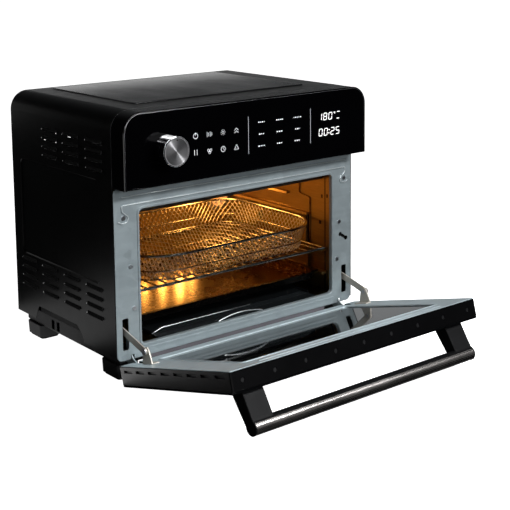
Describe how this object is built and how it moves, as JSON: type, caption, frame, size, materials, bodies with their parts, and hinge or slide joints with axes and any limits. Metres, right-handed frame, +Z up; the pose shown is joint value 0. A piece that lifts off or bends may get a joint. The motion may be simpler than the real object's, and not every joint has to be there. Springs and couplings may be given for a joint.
{
  "type": "toaster oven",
  "caption": "Countertop toaster oven with air-fry basket, touch control block over a drop-down glass door held by stay arms, slide-in rack, trays and louvred casing.",
  "frame": {"origin": "worktop plane under the middle of the overall outline with the door open as in the picture", "axes": "+X to the right seen from the front, +Y from the door to the rear, +Z up"},
  "size_m": [0.404, 0.5173, 0.348],
  "materials": {
    "shell_paint": "satin",
    "gloss_black": "polished",
    "panel_glass": "polished",
    "door_glass": "polished",
    "door_paint": "satin",
    "galvanised": "satin",
    "cavity_sheet": "satin",
    "heater_steel": "satin",
    "rack_chrome": "polished",
    "basket_steel": "satin",
    "tray_metal": "satin",
    "handle_steel": "brushed",
    "knob_chrome": "polished",
    "screw_zinc": "satin",
    "motor_iron": "satin",
    "base_grey": "satin",
    "dark_plastic": "matte",
    "pad_rubber": "matte",
    "ceramic": "matte",
    "insulation": "matte",
    "circuit_board": "matte",
    "display": "polished",
    "lamp_glass": "polished"
  },
  "bodies": {
    "casing": {"outer_shell": "shell_paint", "top_panel": "gloss_black", "rear_cover": "shell_paint", "rear_spacers": "dark_plastic", "rear_screws": "screw_zinc", "cord_gland": "dark_plastic", "base_pan": "base_grey", "feet": "dark_plastic", "foot_pads": "pad_rubber", "carry_grips": "dark_plastic", "front_frame": "galvanised", "frame_screws": "screw_zinc", "cavity_left_wall": "cavity_sheet", "cavity_right_wall": "cavity_sheet", "cavity_back_wall": "cavity_sheet", "cavity_roof": "cavity_sheet", "cavity_floor": "cavity_sheet", "roof_insulation": "insulation", "heater_tubes": "heater_steel", "guide_ribs": "cavity_sheet", "heater_insulators": "ceramic", "lamp_housing": "screw_zinc", "lamp_lens": "lamp_glass", "fan_guard": "cavity_sheet", "motor_bracket": "galvanised", "fan_motor": "motor_iron", "temperature_probe": "heater_steel", "rotisserie_motor": "motor_iron", "door_switch": "dark_plastic", "control_housing": "gloss_black", "control_glass": "panel_glass", "touch_board": "circuit_board", "touch_springs": "screw_zinc", "display_module": "display", "encoder_body": "motor_iron", "power_board": "circuit_board", "hinge_brackets": "galvanised", "hinge_springs": "screw_zinc"},
    "door": {"door_housing": "door_paint", "door_outer_glass": "door_glass", "door_inner_panel": "galvanised", "door_inner_glass": "door_glass", "door_screws": "screw_zinc", "handle_core": "dark_plastic", "handle_sleeve": "handle_steel", "handle_screws": "screw_zinc", "hinge_ears": "galvanised", "hinge_pins": "screw_zinc"},
    "hinge_arm_left": {"hinge_arm_left": "galvanised"},
    "hinge_arm_right": {"hinge_arm_right": "galvanised"},
    "knob": {"knob": "knob_chrome", "encoder_shaft": "screw_zinc"},
    "fan": {"fan_shaft": "screw_zinc", "hot_fan": "cavity_sheet", "cooling_fan": "motor_iron"},
    "spit_drive": {"spit_socket": "heater_steel"},
    "wire_rack": {"wire_rack": "rack_chrome"},
    "fry_basket": {"fry_basket": "basket_steel"},
    "baking_tray": {"baking_tray": "tray_metal"},
    "crumb_tray": {"crumb_tray": "galvanised"}
  },
  "joints": [
    {"name": "door_hinge", "type": "hinge", "parent": "casing", "child": "door", "pos_m": [0, -0.0198, 0.0197], "axis": [1, 0, 0], "range_deg": [-75.2, 0], "deforming": ["hinge_springs"]},
    {"name": "stay_arm_left_pivot", "type": "hinge", "parent": "door", "child": "hinge_arm_left", "pos_m": [-0.1863, -0.05103, 0.05536], "axis": [1, 0, 0], "range_deg": [0, 75.2]},
    {"name": "stay_arm_right_pivot", "type": "hinge", "parent": "door", "child": "hinge_arm_right", "pos_m": [0.1863, -0.05103, 0.05536], "axis": [1, 0, 0], "range_deg": [0, 75.2]},
    {"name": "knob_turn", "type": "hinge", "parent": "casing", "child": "knob", "pos_m": [-0.138, -0.0365, 0.297], "axis": [0, 1, 0], "continuous": true},
    {"name": "fan_spin", "type": "hinge", "parent": "casing", "child": "fan", "pos_m": [0, 0.1145, 0.216], "axis": [0, 0, 1], "continuous": true},
    {"name": "spit_turn", "type": "hinge", "parent": "casing", "child": "spit_drive", "pos_m": [0.168, 0.1525, 0.1345], "axis": [1, 0, 0], "continuous": true},
    {"name": "rack_slide", "type": "slide", "parent": "casing", "child": "wire_rack", "axis": [0, -1, 0], "range_m": [0, 0.15]},
    {"name": "basket_slide", "type": "slide", "parent": "wire_rack", "child": "fry_basket", "axis": [0, -1, 0], "range_m": [0, 0.12]},
    {"name": "tray_slide", "type": "slide", "parent": "casing", "child": "baking_tray", "axis": [0, -1, 0], "range_m": [0, 0.12]},
    {"name": "crumb_tray_slide", "type": "slide", "parent": "casing", "child": "crumb_tray", "axis": [0, -1, 0], "range_m": [0, 0.06]}
  ],
  "couplings": [
    {"joint": "stay_arm_left_pivot", "follows": "door_hinge", "ratio": -1},
    {"joint": "stay_arm_right_pivot", "follows": "door_hinge", "ratio": -1}
  ]
}
